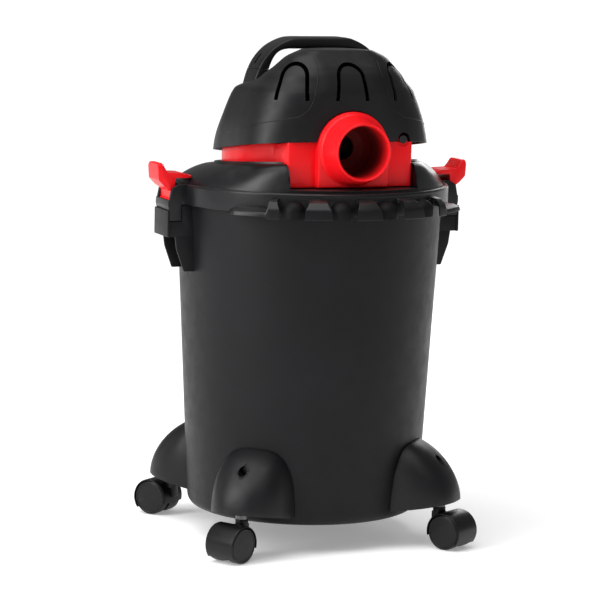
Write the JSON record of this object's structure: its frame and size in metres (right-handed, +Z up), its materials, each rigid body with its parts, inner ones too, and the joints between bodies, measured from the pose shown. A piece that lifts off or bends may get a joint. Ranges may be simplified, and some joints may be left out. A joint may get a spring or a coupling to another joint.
{
  "type": "shop vacuum",
  "caption": "Wet/dry shop vacuum: tapered drum on swivel casters, latched lid with domed motor head, round blower port, loop handle and tool holder.",
  "frame": {"origin": "on the floor, on the drum's axis, under the middle of the body", "axes": "+Z up; -Y towards the round blower port; +X to the right latch seen from the port side; handle along X"},
  "size_m": [0.422, 0.402, 0.64],
  "materials": {
    "black_shell": "satin moulded, fine grain",
    "carbon": "pressed carbon",
    "chrome": "bright plated",
    "drum_plastic": "satin moulded, smooth",
    "fan_aluminium": "as cast",
    "filter_paper": "pleated paper",
    "float_plastic": "smooth",
    "inner_plastic": "plain moulded",
    "motor_iron": "varnished laminations",
    "red_plastic": "semi-gloss moulded",
    "seal_rubber": "matt",
    "steel": "turned",
    "wheel_plastic": "satin moulded"
  },
  "bodies": {
    "tank": {"drum": "drum_plastic", "hose_inlet": "black_shell", "foot_screws": "steel", "foot_front_right": "black_shell", "caster_stem_front_right": "chrome", "foot_back_right": "black_shell", "caster_stem_back_right": "chrome", "foot_back_left": "black_shell", "caster_stem_back_left": "chrome", "foot_front_left": "black_shell", "caster_stem_front_left": "chrome"},
    "head": {"bearing_lower": "steel", "bearing_upper": "steel", "cord_gland": "black_shell", "cover_screw": "steel", "fan_cup": "inner_plastic", "fan_plate": "inner_plastic", "filter_cage": "inner_plastic", "filter_caps": "inner_plastic", "filter_media": "filter_paper", "filter_retainer": "inner_plastic", "handle": "black_shell", "latch_pins": "steel", "lid": "black_shell", "lid_gasket": "seal_rubber", "motor_brushes": "carbon", "motor_cover": "black_shell", "motor_frame": "motor_iron", "motor_stator": "motor_iron", "port_collar": "red_plastic", "switch_bezel": "black_shell", "tool_holder": "black_shell"},
    "latch_r": {"latch_right": "red_plastic"},
    "latch_l": {"latch_left": "red_plastic"},
    "rocker": {"switch_rocker": "black_shell"},
    "rotor": {"motor_shaft": "steel", "armature": "motor_iron", "impeller": "fan_aluminium", "impeller_nut": "steel", "cooling_fan": "inner_plastic"},
    "float": {"float_ball": "float_plastic"},
    "caster_front_right": {"caster_hood_front_right": "wheel_plastic"},
    "wheels_front_right": {"caster_axle_front_right": "steel", "wheel_inner_front_right": "wheel_plastic", "wheel_outer_front_right": "wheel_plastic"},
    "caster_back_right": {"caster_hood_back_right": "wheel_plastic"},
    "wheels_back_right": {"caster_axle_back_right": "steel", "wheel_inner_back_right": "wheel_plastic", "wheel_outer_back_right": "wheel_plastic"},
    "caster_back_left": {"caster_hood_back_left": "wheel_plastic"},
    "wheels_back_left": {"caster_axle_back_left": "steel", "wheel_inner_back_left": "wheel_plastic", "wheel_outer_back_left": "wheel_plastic"},
    "caster_front_left": {"caster_hood_front_left": "wheel_plastic"},
    "wheels_front_left": {"caster_axle_front_left": "steel", "wheel_inner_front_left": "wheel_plastic", "wheel_outer_front_left": "wheel_plastic"}
  },
  "joints": [
    {"name": "lid_lift", "type": "slide", "parent": "tank", "child": "head", "axis": [0, 0, 1], "range_m": [0, 0.3]},
    {"name": "latch_right_turn", "type": "hinge", "parent": "head", "child": "latch_r", "pos_m": [0.19175, 0, 0.434], "axis": [0, 1, 0], "range_deg": [0, 32]},
    {"name": "latch_left_turn", "type": "hinge", "parent": "head", "child": "latch_l", "pos_m": [-0.19175, 0, 0.434], "axis": [0, -1, 0], "range_deg": [0, 32]},
    {"name": "switch_rock", "type": "hinge", "parent": "head", "child": "rocker", "pos_m": [0, 0.1, 0.529], "axis": [-1, 0, 0], "range_deg": [0, 16]},
    {"name": "motor_spin", "type": "hinge", "parent": "head", "child": "rotor", "pos_m": [0, -0.014, 0.5], "axis": [0, 0, 1], "continuous": true},
    {"name": "float_rise", "type": "slide", "parent": "head", "child": "float", "axis": [0, 0, 1], "range_m": [0, 0.07]},
    {"name": "swivel_front_right", "type": "hinge", "parent": "tank", "child": "caster_front_right", "pos_m": [0.13435, -0.13435, 0.045], "axis": [0, 0, 1], "continuous": true},
    {"name": "roll_front_right", "type": "hinge", "parent": "caster_front_right", "child": "wheels_front_right", "pos_m": [0.14474, -0.15144, 0.0225], "axis": [0.8545, 0.5195, 0], "continuous": true},
    {"name": "swivel_back_right", "type": "hinge", "parent": "tank", "child": "caster_back_right", "pos_m": [0.13435, 0.13435, 0.045], "axis": [0, 0, 1], "continuous": true},
    {"name": "roll_back_right", "type": "hinge", "parent": "caster_back_right", "child": "wheels_back_right", "pos_m": [0.14666, 0.15011, 0.0225], "axis": [-0.788, 0.6157, 0], "continuous": true},
    {"name": "swivel_back_left", "type": "hinge", "parent": "tank", "child": "caster_back_left", "pos_m": [-0.13435, 0.13435, 0.045], "axis": [0, 0, 1], "continuous": true},
    {"name": "roll_back_left", "type": "hinge", "parent": "caster_back_left", "child": "wheels_back_left", "pos_m": [-0.14666, 0.15011, 0.0225], "axis": [-0.788, -0.6157, 0], "continuous": true},
    {"name": "swivel_front_left", "type": "hinge", "parent": "tank", "child": "caster_front_left", "pos_m": [-0.13435, -0.13435, 0.045], "axis": [0, 0, 1], "continuous": true},
    {"name": "roll_front_left", "type": "hinge", "parent": "caster_front_left", "child": "wheels_front_left", "pos_m": [-0.15149, -0.14465, 0.0225], "axis": [0.515, -0.8572, 0], "continuous": true}
  ]
}
